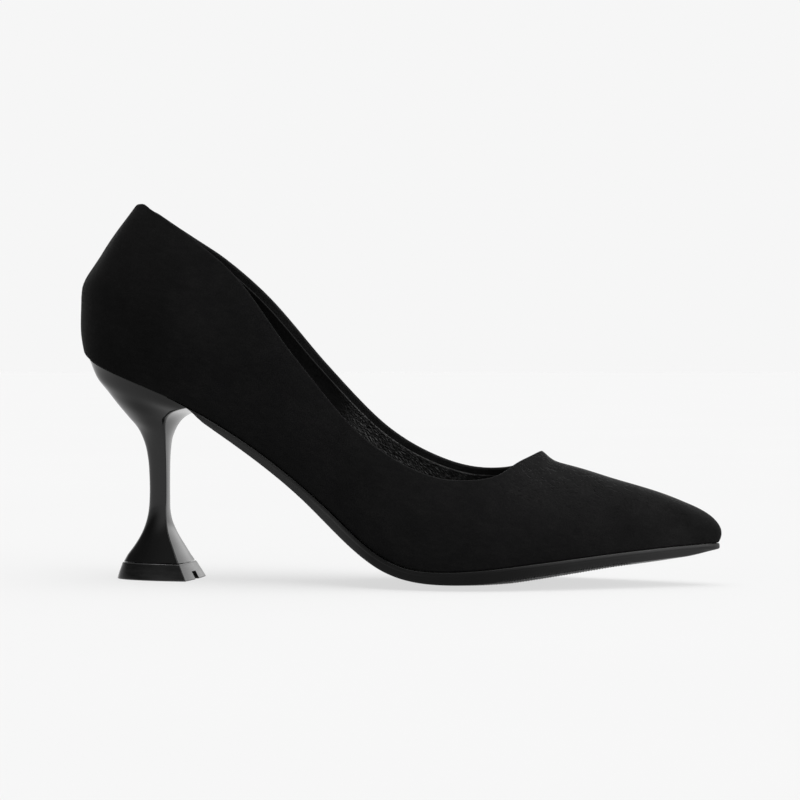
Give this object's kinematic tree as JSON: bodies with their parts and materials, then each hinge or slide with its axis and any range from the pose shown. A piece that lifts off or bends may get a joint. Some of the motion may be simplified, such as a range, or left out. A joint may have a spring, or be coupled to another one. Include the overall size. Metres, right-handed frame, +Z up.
{
  "type": "court shoe",
  "caption": "Right-foot pointed court shoe: hollow suede upper open at collar and throat, thin crowned outsole, glossy spool heel with a flat front on a flared tip.",
  "frame": {"origin": "middle of the whole shoe's box, on the floor it stands on", "axes": "+X from heel to toe, +Y to the inner side of the foot, +Z up"},
  "size_m": [0.2414, 0.0765, 0.1413],
  "materials": {
    "suede": "matt black suede with a fine nap",
    "lining_leather": "smooth black lining leather with a fine grain",
    "sole_rubber": "satin black moulded sole",
    "heel_gloss": "glossy black lacquered plastic",
    "tip_rubber": "satin black hard rubber"
  },
  "bodies": {
    "root": {"upper": "suede", "insole": "lining_leather", "outsole": "sole_rubber", "heel": "heel_gloss", "heel_tip": "tip_rubber"}
  },
  "joints": []
}
